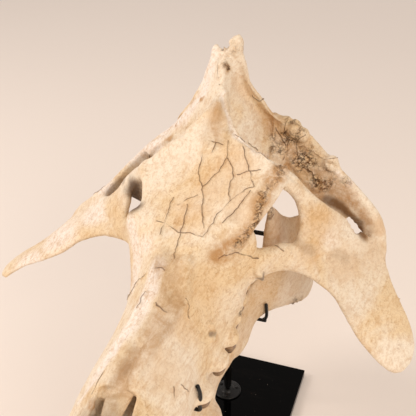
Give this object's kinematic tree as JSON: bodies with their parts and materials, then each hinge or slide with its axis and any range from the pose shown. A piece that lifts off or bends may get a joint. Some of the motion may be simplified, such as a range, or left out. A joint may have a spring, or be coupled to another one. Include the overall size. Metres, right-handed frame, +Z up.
{
  "type": "fossil entelodont skull",
  "caption": "Life-size fossil entelodont skull with its lower jaw, with flared cheek flanges and a tall rear crest, held nose-down by a steel rod mount on a gloss black base.",
  "frame": {"origin": "centre of the underside of the rectangular base plate", "axes": "+Z up, -Y the way the snout points, +X the animal's left side"},
  "size_m": [0.534, 0.5516, 0.5802],
  "materials": {
    "bone": "matte",
    "cheek_bone": "satin",
    "jaw_bone": "matte",
    "base_gloss": "gloss",
    "mount_steel": "satin"
  },
  "bodies": {
    "root": {"cranium": "bone", "snout": "bone", "cheek_left": "cheek_bone", "cheek_right": "cheek_bone", "lower_jaw": "jaw_bone", "stand_base": "base_gloss", "stand_foot": "mount_steel", "stand_post": "mount_steel", "stand_jaw_rest": "mount_steel"}
  },
  "joints": []
}
